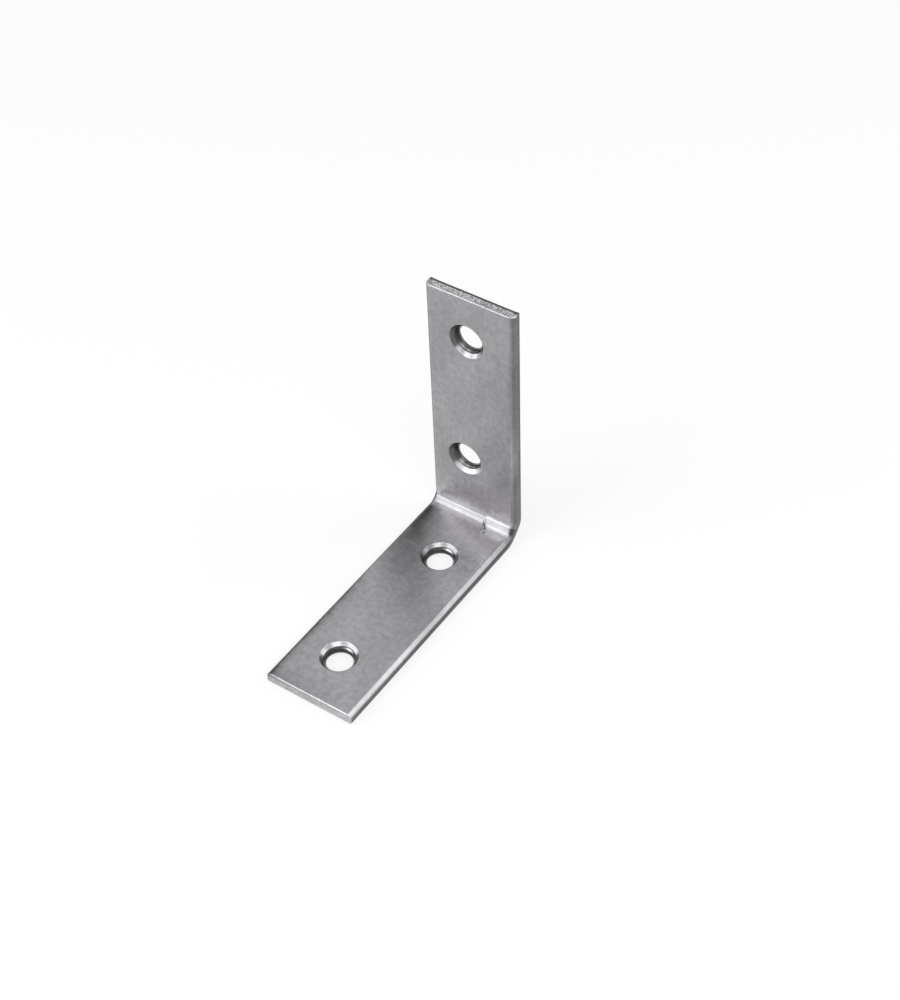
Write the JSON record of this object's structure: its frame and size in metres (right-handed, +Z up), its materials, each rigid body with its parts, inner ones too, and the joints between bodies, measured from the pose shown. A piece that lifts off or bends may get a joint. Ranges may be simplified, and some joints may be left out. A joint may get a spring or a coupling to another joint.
{
  "type": "corner brace",
  "caption": "Right-angle corner brace folded from a narrow zinc-plated steel strip, with countersunk screw holes in both legs.",
  "frame": {"origin": "middle of the footprint, on the underside of the base leg", "axes": "+X across the strip; -Y out along the base leg, so +Y leaves the upright's back; +Z up along the upright leg"},
  "size_m": [0.017, 0.05, 0.05],
  "materials": {
    "zinc_plated_steel": "satin zinc plating"
  },
  "bodies": {
    "root": {"corner_brace": "zinc_plated_steel"}
  },
  "joints": []
}
